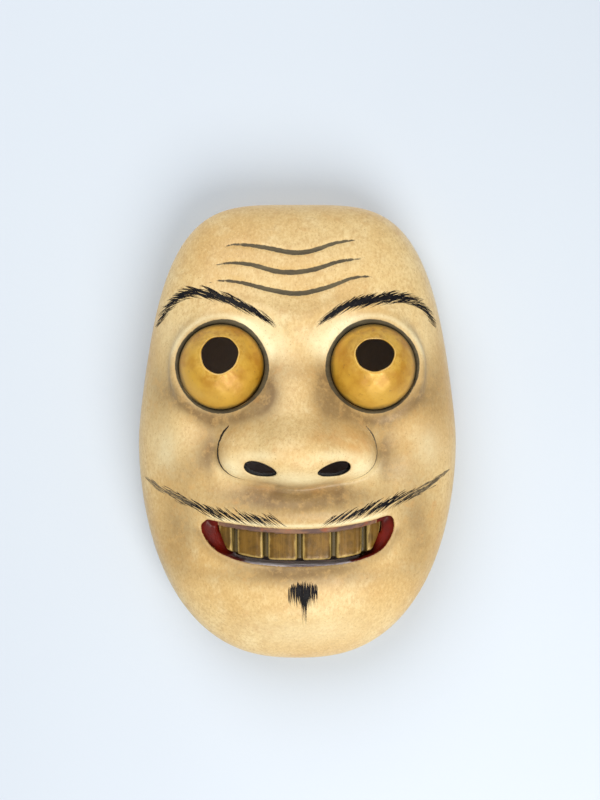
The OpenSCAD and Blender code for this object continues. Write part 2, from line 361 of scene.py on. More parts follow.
def ellipsoid(centre, radii, turn=0.0):
    """About the distance to an ellipsoid, turned about Y by turn degrees."""
    cx, cd, cz = centre
    rx, rd, rz = radii
    c, s = math.cos(math.radians(turn)), math.sin(math.radians(turn))

    def shape(x, y, z):
        u, v, w = x - cx, -y - cd, z - cz
        u, w = c * u + s * w, c * w - s * u
        k0 = np.sqrt((u / rx) ** 2 + (v / rd) ** 2 + (w / rz) ** 2)
        k1 = np.sqrt((u / rx**2) ** 2 + (v / rd**2) ** 2 + (w / rz**2) ** 2)
        return k0 * (k0 - 1) / np.maximum(k1, 1e-4)

    return shape


def nose(x, y, z):
    """A broad low bridge that spreads into the tip and the two wings."""
    shape = ellipsoid((0, 55, -9), (22, 18.5, 13.8))(x, y, z)
    for side in (-1, 1):
        wing = ellipsoid((side * 21.7, 50, -9.4), (13.8, 13, 11.4), side * -4)(x, y, z)
        shape = smooth_min(shape, wing, 7)
    return smooth_min(shape, ellipsoid((0, 42, 4), (26, 17.5, 27))(x, y, z), 14)


def nostril(side):
    """A slanted oval, a little taller towards its outer end."""
    c, s = math.cos(NOSTRIL_TURN), math.sin(NOSTRIL_TURN)

    def shape(x, y, z):
        u, w = side * x - NOSTRIL_X, z - NOSTRIL_Z
        u, w = u * c + w * s, w * c - u * s
        t = np.clip(u / NOSTRIL_LONG, -1, 1)
        half = NOSTRIL_TALL * np.sqrt(1 - t * t) * (0.82 + 0.2 * t)
        return np.maximum(np.abs(w) - half, np.abs(u) - NOSTRIL_LONG) + 0 * y

    return shape


def mouth(x, y, z):
    """The mouth's opening. Its corners slant in and the upper lip's underside slants down on the way
    to the teeth."""
    slant = np.clip((46 + y) * 1.9, 0, 15)
    plane = loop_distance(x, z, MOUTH)
    opening = smooth_max(plane, np.abs(x) - (44 - slant), 2.0)
    r = np.hypot(x, y - ARCH_Y)
    drop = LIP_TURN * smooth_step((ARCH_R + TOOTH_T + 3.4 - r) / 2.6)
    return np.maximum(opening, z - lip_edge(x) + drop)


def arch_bar(r0, r1, z0, z1, inset):
    """A curved wall on the dental arch, whose ends lie inset from the ends of the tooth row."""

    def shape(x, y, z):
        r = np.hypot(x, y - ARCH_Y)
        wall = np.abs(r - (r0 + r1) / 2) - (r1 - r0) / 2
        tall = np.maximum(z - z1, z0 - z)
        return np.maximum(np.maximum(wall, tall), np.maximum(x - ROW_HI, ROW_LO - x) + inset)

    return shape


# The wooden bar behind the tooth caps, and the seat that is cut for them.
BAR = arch_bar(ARCH_R - 5, ARCH_R - 0.1, TOOTH_EDGE + 1.2, TOOTH_SEAT + 4, 7.5)
SEAT = arch_bar(ARCH_R - 1, ARCH_R + TOOTH_T + 0.4, MOUTH_Z - 3.6, TOOTH_SEAT + 0.1, -0.1)


def tooth_angles(node):
    """The angles on the arch of a tooth's two sides, from low X to high X."""
    low, high = box_mm(node)
    ends = []
    for x, other in ((low[0], high[0]), (high[0], low[0])):
        outer = abs(x) > abs(other)
        ends.append(math.asin(x / (ARCH_R + (TOOTH_T if outer else 0.1))))
    return ends


def ribs(x, y, z):
    """The ridges of wood between the tooth caps."""
    r = np.hypot(x, y - ARCH_Y)
    angle = np.arctan2(x, ARCH_Y - y)
    sides = [tooth_angles(node) for node in TEETH]
    near = 1e9
    for (_, a), (b, _) in zip(sides, sides[1:]):
        near = np.minimum(near, np.abs(angle - (a + b) / 2) * ARCH_R - 1.2)
    tall = np.maximum(z - TOOTH_SEAT, TOOTH_EDGE + 0.6 + 0.0028 * x * x - z)
    return np.maximum(np.maximum(near, np.abs(r - ARCH_R - 1) - 2.4), tall)


def eye_funnel(side):
    """What is cut away so that the wood falls from brow and nose to the ring round an eye."""

    def shape(x, y, z):
        r = np.hypot(x - side * EYE_X, z - EYE_Z)
        floor = LEDGE + EYE_STRAIGHT + LID_RISE + 0.6 * np.maximum(r - EYE_R - 2.5, 0)
        return np.maximum(r - 31, (floor + y) * 0.85)

    return shape


def lid(side):
    """The raised ring of wood round an eye."""
    crest = LEDGE + EYE_STRAIGHT + LID_RISE

    def shape(x, y, z):
        ring = np.hypot(x - side * EYE_X, z - EYE_Z) - (EYE_R + 2.2)
        return np.hypot(ring, y + crest - LID_ROUND) - LID_ROUND

    return shape


def socket(side):
    """The round recess that an eye plate is let into."""

    def shape(x, y, z):
        r = np.hypot(x - side * EYE_X, z - EYE_Z)
        return np.maximum(r - (EYE_R + SOCKET_GAP), LEDGE + y)

    return shape


def eye_hole(side):
    """The hole through the wood behind an eye plate."""

    def shape(x, y, z):
        return np.hypot(x - side * EYE_X, z - EYE_Z) - (EYE_R - EYE_SEAT) + 0 * y

    return shape


def gouges(x, z):
    """Shallow scoops left by the chisel in the hollow, in staggered rows."""
    tall, long = 6.5, 15.0
    row = np.floor(z / tall + 0.25 * np.sin(x / 23))
    across = x / long + 0.5 * np.mod(row, 2) + 0.37 * np.sin(row * 12.9)
    column = np.floor(across)
    jitter = 0.5 + 0.5 * np.sin(row * 78.2 + column * 37.7)
    u = across - column - 0.5
    v = z / tall + 0.25 * np.sin(x / 23) - row - 0.5
    return (0.35 + 0.35 * jitter) * (1 - 3.2 * v * v - 1.6 * u * u)


def eye_box(side, reach, back=-30):
    """The lowest and highest corners of a box round an eye."""
    return (side * EYE_X - reach, -90, EYE_Z - reach), (side * EYE_X + reach, back, EYE_Z + reach)


def sculpt():
    """The whole carving, from the plain dome to the last hole."""
    wood = Carving()
    wood.dome()
    for side in (-1, 1):
        wood.carve(eye_funnel(side), *eye_box(side, 34), 4.0)
    s, x, y, z = wood.window((-48, -90, -40), (48, -20, 48))
    k = 2.6 + 13 * smooth_step((z + 9) / 22)
    wood.phi[s] = smooth_min(wood.phi[s], nose(x, y, z), k)
    for side in (-1, 1):
        wood.add(lid(side), *eye_box(side, 28), 4.5)
    # hollow
    edge = 1 - math.sin(math.radians(WRAP))
    reach = (HALF_W, CROWN - WAIST_Z, CHIN + WAIST_Z)
    rho = wood.outline(*[size * (1 - edge) - RIM_W for size in reach])
    fade = 1 - smooth_step((rho - 0.5) / 0.4)
    lift = fade * (14 * bump(wood.x, wood.z, 0, -7, 18, 18) + 2 * bump(wood.x, wood.z, 0, 50, 40, 14))
    d = np.maximum(wood.d - lift, 0) / HOLLOW_D
    f = np.power(np.power(rho, SUPER) + np.power(d, SUPER), 1 / SUPER) - 1
    deep = smooth_step((wood.d - 3) / 6)
    hollow = wood.normalise(f.astype(np.float32)) - gouges(wood.x, wood.z) * deep
    wood.hollow = hollow.astype(np.float32)
    wood.phi = smooth_max(wood.phi, -wood.hollow, 1.0).astype(np.float32)
    # openings
    for side in (-1, 1):
        wood.carve(socket(side), *eye_box(side, 24, 10), 1.0)
        wood.carve(eye_hole(side), *eye_box(side, 24, 10), 0.8)
        wood.carve(nostril(side), (side * 16 - 14, -90, -24), (side * 16 + 14, -34, -6), 0.7)
    wood.carve(mouth, (-48, -90, -64), (48, 10, -32), 1.3)
    wood.carve(SEAT, (-48, -90, -64), (48, 10, -30), 0.4)
    wood.add(BAR, (-44, -60, -62), (44, -20, -28), 0.4)
    wood.add(ribs, (-44, -60, -62), (44, -20, -28), 0.3)
    wood.carve(
        lambda x, y, z: np.hypot(y + CORD_D, z - CORD_Z) - CORD_R + 0 * x,
        (-120, -CORD_D - 8, CORD_Z - 8),
        (120, -CORD_D + 8, CORD_Z + 8),
        0.6,
    )
    return wood


def paint(wood, points):
    """What is painted where, at each point. A drawn line has its cover in millimetres, positive inside
    the line. Everything else has a strength from 0 to about 1."""
    x, y, z = points[:, 0], points[:, 1], points[:, 2]
    cell = [
        np.clip(((points[:, i] - wood.low[i]) / VOXEL).round().astype(int), 0, wood.phi.shape[i] - 1)
        for i in range(3)
    ]
    hollow = wood.hollow[cell[0], cell[1], cell[2]]
    back = np.clip(1.4 - hollow / 1.6, 0, 1)
    back = np.maximum(back, smooth_step((y + 1.2) / 0.8))
    ax = np.abs(x)
    r = np.hypot(ax - EYE_X, z - EYE_Z)
    turn = np.arctan2(z - EYE_Z, EYE_X - ax)  # 0 towards the nose
    ring = 1.0 + 0.3 * np.cos(turn - 0.9) + 0.22 * np.cos(4 * turn + 0.8) - np.abs(r - OUTLINE_R)
    line = np.full(x.shape, -2.0)
    for wrinkle in WRINKLES:
        near = (z > wrinkle[:, 1].min() - 4) & (z < wrinkle[:, 1].max() + 4) & (ax < 45)
        dist, t = curve_distance(x[near], z[near], wrinkle[::2])
        half = 1.35 * np.power(np.sin(np.pi * np.clip(t, 0, 1)), 0.5) - 0.15
        line[near] = np.maximum(line[near], half - dist)
    lips = np.full(x.shape, 9.0)
    near = (ax < 50) & (z < -30) & (z > -66) & (back < 0.5)
    lips[near] = loop_distance(x[near], z[near], MOUTH)
    inside = np.minimum(mouth(x[near], y[near], z[near]), SEAT(x[near], y[near], z[near]))
    upper = smooth_step((z + 44) / 3)
    wall = np.zeros_like(x)
    wall[near] = smooth_step((0.55 - inside) / 0.5)
    corner = smooth_step((ax - 34) / 2) + smooth_step((ax - 26) / 3) * (1 - upper)
    low_wall = smooth_step((ax - 20) / 6) * (1 - upper)
    red = wall * np.clip(np.maximum(corner, low_wall), 0, 1)
    strip = np.maximum(wall, smooth_step((0.5 - lips) / 0.6) * smooth_step((z + 48) / 2))
    strip = strip * (1 - smooth_step((ax - 34) / 2))
    bar = np.clip(1.2 - np.minimum(BAR(x, y, z), ribs(x, y, z)) / 0.6, 0, 1) * (back < 0.98)
    nostrils = np.minimum(nostril(1)(x, y, z), nostril(-1)(x, y, z))
    # Painted shade: the insides of the nostrils are painted near black.
    dark = np.clip(1.0 - nostrils / 0.5, 0, 1) * (y < -40)
    # Painted highlights along the top of the ring round each eye and along the upper lip's edge.
    lid_edge = np.exp(-np.square((r - 22.6) / 1.1)) * smooth_step((z - EYE_Z) / 12)
    lip_line = np.exp(-np.square((lips - 1.5) / 0.9)) * upper * (1 - smooth_step((ax - 34) / 8))
    painted_highlight = mounds(x, z, PAINTED_HIGHLIGHTS) + 0.5 * lid_edge + 0.8 * lip_line
    # Painted shade under and round the eyes, round the lower lip and towards the crown.
    under_eye = np.exp(-np.square((r - 23.8) / 4.6)) * smooth_step((EYE_Z - 4 - z) / 14)
    round_eye = np.exp(-np.square((r - 23) / 2.5))
    round_lip = np.exp(-np.square((lips - 1.5) / 2.4)) * (1 - upper)
    crown = smooth_step((z - 92) / 14)
    shade = mounds(x, z, SHADE) + 0.85 * under_eye + 0.3 * round_eye + 0.55 * round_lip + 0.2 * crown
    warm = mounds(x, z, WARM)
    return {
        "line": np.clip(line, -2, 2), "ring": np.clip(ring, -2, 2), "back": back,
        "red": red, "strip": strip, "olive": bar, "warm": np.clip(warm, 0, 1),
        "dark": dark, "painted_highlight": np.clip(painted_highlight, 0, 1), "shade": np.clip(shade, 0, 1.12),
        "rim": smooth_step((y + 2.6) / 2.0),
    }


def make_mesh(name, points, faces, values=None, smooth=True):
    """A mesh object from points in millimetres, with a float attribute for each of values."""
    mesh = bpy.data.meshes.new(name)
    if isinstance(faces, list):
        mesh.from_pydata([tuple(p) for p in np.asarray(points) * MM], [], faces)
    else:
        mesh.vertices.add(len(points))
        mesh.vertices.foreach_set("co", np.asarray(points, np.float32).reshape(-1) * MM)
        mesh.loops.add(faces.size)
        mesh.loops.foreach_set("vertex_index", faces.reshape(-1).astype(np.int32))
        mesh.polygons.add(len(faces))
        starts = np.arange(0, faces.size, faces.shape[1], dtype=np.int32)
        mesh.polygons.foreach_set("loop_start", starts)
        mesh.update(calc_edges=True)
    mesh.validate()
    mesh.polygons.foreach_set("use_smooth", [smooth] * len(mesh.polygons))
    for key, value in (values or {}).items():
        data = mesh.attributes.new(key, "FLOAT", "POINT").data
        data.foreach_set("value", np.asarray(value, np.float32))
    piece = bpy.data.objects.new(name, mesh)
    bpy.context.scene.collection.objects.link(piece)
    return piece


# ---- eye plates ----

# The pupil's rolled edge: distance from the hole and height above the dome.
PUPIL_EDGE = [(0.0, -0.45), (0.14, -0.1), (0.36, 0.12), (0.65, 0.2), (0.95, 0.12), (1.3, 0.02)]


def eye_dome(side):
    """A beaten dome on a straight foot, with an uneven pupil cut in it."""
    turns = 160
    a = np.linspace(0, 2 * np.pi, turns, endpoint=False)
    foot = EYE_R
    rise = APEX - LEDGE - EYE_STRAIGHT
    ball = (foot**2 + rise**2) / (2 * rise)
    centre = LEDGE + EYE_STRAIGHT + rise - ball
    wobble = 1 + 0.026 * np.sin(2 * a + 1.1 * side) + 0.018 * np.sin(3 * a + 0.4) + 0.01 * np.sin(7 * a)
    rx, rz = PUPIL_RADII[side]
    pupil = np.stack([rx * wobble * np.cos(a) + 0.3 * side, rz * wobble * np.sin(a) + PUPIL_UP], 1)
    out = np.stack([foot * np.cos(a), foot * np.sin(a)], 1)
    reach = np.linalg.norm(out - pupil, axis=1)
    rings, edge, rim = [], [], []

    def dome_ring(t, thin, lift):
        q = pupil * (1 - t) + out * t
        if thin:
            q = q * np.minimum(1, (foot - thin) / np.maximum(np.linalg.norm(q, axis=1), 1e-6))[:, None]
        r = np.minimum(np.linalg.norm(q, axis=1), foot)
        d = centre + np.sqrt(np.maximum((ball - thin) ** 2 - r**2, 0)) + lift
        if not thin:
            dents = np.sin(q[:, 0] * 0.9 + 1.3) * np.sin(q[:, 1] * 0.8 + side)
            d = d + 0.12 * dents * smooth_step((foot - r) / 4)
        rings.append(np.stack([q[:, 0], -d, q[:, 1]], 1))
        edge.append(t * reach)
        rim.append(foot - r)

    def foot_ring(flat, d, inset):
        rings.append(np.stack([flat[:, 0], np.full(turns, -d), flat[:, 1]], 1))
        edge.append(reach)
        rim.append(np.full(turns, inset))

    # outer face, from the pupil's rolled edge to the foot
    for distance, lift in PUPIL_EDGE:
        dome_ring(distance / reach.mean(), 0, lift)
    for t in np.linspace(1.9 / reach.mean(), 1, 24):
        dome_ring(t, 0, 0)
    for d in (LEDGE + 3.4, LEDGE + 1.6, LEDGE):
        foot_ring(out, d, 0.5)
    # inner face, back from the foot to the pupil
    small = out * (foot - PLATE_T) / foot
    for d in (LEDGE, LEDGE + 2.5):
        foot_ring(small, d, 0.0)
    for t in np.linspace(1, 0, 10):
        dome_ring(t, PLATE_T, 0)
    points = np.concatenate(rings) + np.array([side * EYE_X, 0, EYE_Z])
    n = len(rings)
    i, j = np.meshgrid(np.arange(n), np.arange(turns), indexing="ij")
    i2, j2 = (i + 1) % n, (j + 1) % turns
    faces = np.stack([i * turns + j, i * turns + j2, i2 * turns + j2, i2 * turns + j], -1).reshape(-1, 4)
    values = {"edge": np.concatenate(edge), "rim": np.concatenate(rim)}
    name = "left_eye_dome" if side > 0 else "right_eye_dome"
    return make_mesh(name, points, faces[:, ::-1], values)


# ---- teeth ----

CAP_ROUND = 1.15  # radius of a tooth cap's edges


def tooth_cap(node):
    """A tooth cap: a rounded block bent to the dental arch, its lower edge following the smile."""
    low, high = box_mm(node)
    a0, a1 = tooth_angles(node)
    mid, spread = (a0 + a1) / 2, (a1 - a0) / 2
    half = np.array([spread * (ARCH_R + TOOTH_T), (TOOTH_T - 0.2) / 2, (high[2] - low[2]) / 2])
    bm = bmesh.new()
    bmesh.ops.create_cube(bm, size=2)
    bmesh.ops.subdivide_edges(bm, edges=bm.edges, cuts=15, use_grid_fill=True)
    p = np.array([v.co for v in bm.verts])
    faces = np.array([[v.index for v in f.verts] for f in bm.faces])
    bm.free()
    p = np.sign(p) * np.power(np.abs(p), 0.72)
    flat = p * half
    core = np.clip(flat, CAP_ROUND - half, half - CAP_ROUND)
    d = flat - core
    size = np.linalg.norm(d, axis=1, keepdims=True)
    p3 = core + d / np.maximum(size, 1e-6) * np.minimum(size, CAP_ROUND)
    u, w = p3[:, 0] / half[0], p3[:, 2] / half[2]
    if node in (TEETH[0], TEETH[-1]):
        out = np.sign(mid)
        cut = np.square(np.clip((0.45 - w) / 1.45, 0, 1))
        p3[:, 0] = out * half[0] * ((out * u + 1) * (1.1 - 0.72 * cut) - 1)
    wave = 0.10 * np.sin(p3[:, 0] * 2.1 + mid * 40) * (p3[:, 1] > 0)
    depth = p3[:, 1] + (p3[:, 1] > 0) * (0.35 * (1 - u * u) + 0.25 * (1 - w * w) - 0.35) + wave
    angle = mid + p3[:, 0] / (ARCH_R + TOOTH_T)
    radius = ARCH_R + TOOTH_T / 2 + 0.05 + depth
    x = radius * np.sin(angle)
    y = ARCH_Y - radius * np.cos(angle)
    z = (low[2] + high[2]) / 2 + p3[:, 2]
    x_mid = ARCH_R * math.sin(mid)

    def smile(at):
        return 5.2 * np.power(np.abs(at) / 36, 3)

    z = z + smooth_step(0.5 - w / 2) * np.clip(smile(x) - smile(x_mid), -1.2, 2.4)
    worn = np.maximum(np.abs(flat[:, 0]) / half[0], -flat[:, 2] / half[2])
    edge = np.minimum(half[0] - np.abs(p3[:, 0]), p3[:, 2] + half[2])
    values = {"edge": edge, "worn": worn}
    return make_mesh("tooth_cap_" + node[-1], np.stack([x, y, z], 1), faces, values)


# ---- ink ----

RAY_START = -200  # in front of the face
DEEPEST = -20  # no ink further back than this
INK_SUNK = 0.02  # how deep a stroke's edges are sunk
INK_THICK, INK_CROWN = 0.04, 0.06  # its least height, and what is added where it is full


class Ink:
    """Thin strokes of paint that follow a surface."""

    def __init__(self, name, tree):
        self.name, self.tree = name, tree
        self.points, self.faces, self.faded = [], [], []

    def on_surface(self, x, z):
        hit, normal, _, _ = self.tree.ray_cast(Vector((x, RAY_START, z)) * MM, Vector((0, 1, 0)))
        return (np.array(hit) / MM, np.array(normal)) if hit else (None, None)

    def stroke(self, line, width, faded):
        """Paints along line, a list of (x, z), full in the middle and pointed at its ends."""
        placed = [self.on_surface(x, z) for x, z in line]
        placed = [(p, n) for p, n in placed if p is not None and p[1] < DEEPEST]
        if len(placed) < 3:
            return
        at = np.array([p for p, _ in placed])
        heading = np.gradient(at, axis=0)
        start = len(self.points)
        last = len(placed) - 1
        for i, (p, n) in enumerate(placed):
            across = np.cross(n, heading[i])
            across /= max(np.linalg.norm(across), 1e-6)
            t = i / last
            full = min(1.0, (t + 0.02) / 0.18) ** 0.7 * min(1.0, (1.015 - t) / 0.5) ** 0.8
            side = across * width / 2 * full
            sunk = n * INK_SUNK
            self.points += [p + side - sunk, p + n * (INK_THICK + INK_CROWN * full), p - side - sunk]
            self.faded += [faded] * 3
        for i in range(last):
            a = start + 3 * i
            for j in range(3):
                k = (j + 1) % 3
                self.faces.append((a + j, a + 3 + j, a + 3 + k, a + k))
        self.faces.append((start, start + 1, start + 2))
        end = start + 3 * last
        self.faces.append((end + 2, end + 1, end))

    def piece(self):
        return make_mesh(self.name, np.array(self.points), self.faces, {"faded": self.faded})


def along(stops, t):
    """Values between stops of (t, value, value ...)."""
    ts = [s[0] for s in stops]
    return [float(np.interp(t, ts, [s[i] for s in stops])) for i in range(1, len(stops[0]))]


def hairs(ink, line, side, count, stops, seed):
    """Hairs along a line. Each stop holds a place, then the hairs' turn in degrees below the
    outward line, length, spread across the line, width and fading."""
    rng = random.Random(seed)
    curve = curve_points(line, 0.5)
    for n in range(count):
        t = (n + rng.random()) / count
        turn, length, spread, width, faded = along(stops, t)
        i = int(t * (len(curve) - 1))
        ahead = curve[min(i + 3, len(curve) - 1)] - curve[max(i - 3, 0)]
        ahead /= np.linalg.norm(ahead)
        normal = np.array([-ahead[1], ahead[0]])
        off = rng.uniform(-1, 1)
        at = curve[i] + normal * off * abs(off) ** 0.6 * spread
        a = math.radians(turn + rng.gauss(0, 2.6))
        go = np.array([math.cos(a) * -side, math.sin(a)])
        bend = rng.uniform(-0.06, 0.06)
        length *= rng.uniform(0.7, 1.2)
        steps = max(4, int(length / 0.8))
        s = np.linspace(-0.5, 0.5, steps + 1)
        sag = np.array([-go[1], go[0]]) * bend * length
        path = at + np.outer(s * length, go) + np.outer(1 - 4 * s * s, sag)
        width *= rng.uniform(0.75, 1.2) * (1 - 0.4 * abs(off))
        ink.stroke(path, width, min(1, max(0, faded + rng.gauss(0, 0.08))))


# place along the line, turn, length, spread, width, faded
BROW_STOPS = [
    (0.0, 42, 5.0, 0.6, 0.32, 0.2),
    (0.12, 30, 6.2, 1.5, 0.4, 0.1),
    (0.3, -4, 8.0, 2.3, 0.54, 0.0),
    (0.5, -25, 9.6, 2.3, 0.56, 0.0),
    (0.75, -36, 10.2, 1.9, 0.5, 0.0),
    (1.0, -41, 10.0, 0.9, 0.38, 0.0),
]
MOUSTACHE_STOPS = [
    (0.0, -40, 4.0, 0.5, 0.45, 0.8),
    (0.12, -28, 6.0, 1.5, 0.6, 0.65),
    (0.35, -27, 8.5, 2.0, 0.62, 0.45),
    (0.5, -36, 9.4, 1.9, 0.52, 0.05),
    (0.75, -37, 9.4, 1.7, 0.48, 0.0),
    (1.0, -36, 9.0, 0.8, 0.4, 0.0),
]


def goatee(ink):
    """Upright strands, longest a little left of the middle, that draw together into a point."""
    rng = random.Random(SEED + 9)
    count = 64
    for n in range(count):
        u = (n + rng.random()) / count * 2 - 1
        x = 2.7 + 6.3 * u
        top = -65.2 - 2.4 * u * u + rng.uniform(-1.5, 1.1)
        drop = 12.6 - 4.6 * abs(u) + rng.uniform(-2.4, 0.8)
        if abs(u - 0.1) < 0.24:
            drop = rng.uniform(13, 20.0)
        draw = 0.5 * u - 2.1 * (u - 0.1) * max(0, drop - 6) / 8
        steps = np.linspace(0, 1, 12)
        path = [(x + draw * t - 0.3 * math.sin(3 * t), top - drop * t) for t in steps]
        ink.stroke(path, rng.uniform(0.3, 0.52), 0.0)


# ---- materials ----

# Each colour in sRGB, from 0 to 255.
COLORS = {
    # painted wood
    "ochre": (229, 198, 137),
    "deep_ochre": (217, 178, 112),
    "pale_ochre": (238, 213, 158),
    "grain_dark": (188, 147, 88),
    "grain_light": (246, 224, 172),
    # painted shade
    "umber": (136, 108, 66),
    "rust": (203, 150, 84),
    "tan": (202, 163, 102),
    "stain": (206, 148, 74),
    # painted highlight
    "bare_gofun": (253, 238, 190),
    "speck_dark": (158, 120, 70),
    "speck_light": (252, 236, 196),
    # drawn lines
    "line": (58, 52, 38),
    "line_dry": (92, 83, 60),
    "ring": (58, 51, 35),
    "ring_dry": (86, 76, 52),
    # mouth and nostrils
    "gum": (150, 112, 88),
    "gum_dark": (108, 84, 76),
    "gum_red": (176, 96, 58),
    "lip_glint": (222, 216, 222),
    "lip_grey": (132, 118, 128),
    "red": (120, 24, 8),
    "dark_red": (78, 12, 5),
    "olive": (96, 80, 38),
    "dark_olive": (62, 50, 22),
    # painted shade inside the nostrils
    "nostril": (11, 8, 6),
    # hollow
    "lacquer": (46, 27, 18),
    "lacquer_brown": (82, 50, 31),
    "lacquer_black": (24, 15, 12),
    "bare_wood": (150, 112, 70),
    # eye plates
    "eye_gold": (209, 160, 50),
    "eye_deep_gold": (184, 128, 24),
    # painted light on the plate's lower half
    "eye_low": (220, 178, 76),
    # painted shade, mottled, on the plate's upper half
    "eye_dirt": (150, 98, 34),
    "eye_halo": (226, 182, 80),
    "eye_edge": (226, 190, 116),
    "eye_fleck": (120, 84, 34),
    "eye_rim": (118, 92, 44),
    "eye_outline": (100, 88, 58),
    # tooth caps
    "tooth_gold": (127, 91, 22),
    "tooth_deep_gold": (95, 67, 14),
    "tooth_light": (148, 116, 46),
    "tooth_dark": (98, 76, 30),
    "tooth_worn": (212, 182, 108),
    "tooth_grime": (70, 58, 28),
    # ink
    "ink": (12, 9, 12),
    "ink_grey": (40, 33, 34),
    "ink_faded": (150, 132, 100),
    # floor
    "floor": (214, 222, 230),
    "floor_shade": (206, 214, 224),
}


def tone(name):
    """A named colour in linear light, with an alpha of 1."""
    parts = [v / 255 for v in COLORS[name]]
    return tuple(v / 12.92 if v <= 0.04045 else ((v + 0.055) / 1.055) ** 2.4 for v in parts) + (1.0,)


class Finish:
    """A material whose nodes are added by short calls."""

    def __init__(self, name, **constant):
        self.material = bpy.data.materials.new(name)
        self.material.use_nodes = True
        self.tree = self.material.node_tree
        self.shader = self.tree.nodes["Principled BSDF"]
        for key, value in constant.items():
            self.shader.inputs[key.replace("_", " ")].default_value = value
        self.place = self.add("ShaderNodeTexCoord").outputs["Object"]

    def add(self, kind, inputs=(), **settings):
        node = self.tree.nodes.new(kind)
        for key, value in settings.items():
            setattr(node, key, value)
        for key, value in dict(inputs).items():
            self.put(node.inputs[key], value)
        return node

    def put(self, socket, value):
        """Feeds a socket from another one, or sets it to a named colour or a plain value."""
        if isinstance(value, bpy.types.NodeSocket):
            self.tree.links.new(value, socket)
        else:
            socket.default_value = tone(value) if isinstance(value, str) else value

    def value(self, name):
        return self.add("ShaderNodeAttribute", attribute_name=name).outputs["Fac"]

    def noise(self, scale, detail=3.0, rough=0.55, stretch=None, distortion=0.0):
        place = self.place
        if stretch:
            place = self.add("ShaderNodeMapping", {"Vector": place, "Scale": stretch}).outputs[0]
        inputs = {"Vector": place, "Scale": scale, "Detail": detail, "Roughness": rough}
        inputs["Distortion"] = distortion
        return self.add("ShaderNodeTexNoise", inputs).outputs[0]

    def ramp(self, value, low, high, out_low=0.0, out_high=1.0):
        inputs = {"Value": value, "From Min": low, "From Max": high, "To Min": out_low, "To Max": out_high}
        return self.add("ShaderNodeMapRange", inputs, interpolation_type="SMOOTHSTEP").outputs[0]

    def math(self, operation, a, b=0.0):
        return self.add("ShaderNodeMath", {0: a, 1: b}, operation=operation).outputs[0]

    def times(self, a, b):
        return self.math("MULTIPLY", a, b)

    def plus(self, a, b):
        return self.math("ADD", a, b)

    def mix(self, a, b, factor, blend="MIX"):
        node = self.add("ShaderNodeMix", {0: factor, 6: a, 7: b}, data_type="RGBA", blend_type=blend)
        return node.outputs[2]

    def bump(self, height, distance, strength=1.0, normal=None):
        inputs = {"Height": height, "Distance": distance, "Strength": strength}
        if normal:
            inputs["Normal"] = normal
        return self.add("ShaderNodeBump", inputs).outputs[0]

    def finish(self, color, roughness, normal):
        self.put(self.shader.inputs["Base Color"], color)
        self.put(self.shader.inputs["Roughness"], roughness)
        self.put(self.shader.inputs["Normal"], normal)
        return self.material


LIP_Z, LIP_D = -51.0, 42.0  # height and depth at which the painted glint on the lower lip's inner wall sets in


def skin(f, cloudy, fine, speck):
    """Ochre over gofun, with its grain, stains, painted shade and painted highlights."""
    broad = f.noise(22, 3)
    color = f.mix("ochre", "deep_ochre", f.ramp(broad, 0.35, 0.65))
    color = f.mix(color, "pale_ochre", f.ramp(cloudy, 0.5, 0.72, 0, 0.6))
    grain = f.noise(900, 4, 0.7, stretch=(1, 1, 0.6))
    color = f.mix(color, "grain_dark", f.ramp(grain, 0.46, 0.72, 0, 0.55))
    color = f.mix(color, "grain_light", f.ramp(grain, 0.5, 0.3, 0, 0.3))
    # Painted shade in the face's hollows, creases and undersides.
    shade = f.times(f.value("shade"), f.ramp(cloudy, 0.25, 0.7, 0.75, 1.1))
    color = f.mix(color, "umber", f.times(shade, 0.85))
    color = f.mix(color, "rust", f.ramp(f.noise(120, 4, 0.65), 0.58, 0.75, 0, 0.45))
    color = f.mix(color, "tan", f.ramp(f.noise(260, 5, 0.7), 0.48, 0.66, 0, 0.5))
    warm = f.times(f.value("warm"), f.ramp(f.noise(180, 4, 0.65), 0.35, 0.65, 0.25, 0.75))
    color = f.mix(color, "stain", warm)
    # Painted highlights on the brows, nose, lips, chin and cheekbones.
    painted_highlight = f.times(f.value("painted_highlight"), f.ramp(fine, 0.2, 0.7, 0.7, 1.0))
    color = f.mix(color, "bare_gofun", painted_highlight)
    color = f.mix(color, "speck_dark", f.ramp(speck, 0.62, 0.74, 0, 0.5))
    return f.mix(color, "speck_light", f.ramp(speck, 0.34, 0.26, 0, 0.12))


def drawn_lines(f, color, fine):
    """The wrinkles and the outlines round the eyes, and how much of each point they cover."""
    drag = f.noise(60, 4, 0.7, stretch=(1, 1, 5))
    drawn = 0.0
    for name, most, dry in (("line", 0.95, 0.35), ("ring", 0.97, 0.3)):
        cover = f.plus(f.value(name), f.ramp(fine, 0, 1, -0.18, 0.18))
        painted = f.ramp(cover, -0.15, 0.2, 0, most)
        color = f.mix(color, f.mix(name, name + "_dry", f.ramp(drag, dry, 0.7)), painted)
        drawn = f.math("MAXIMUM", drawn, painted)
    return color, drawn


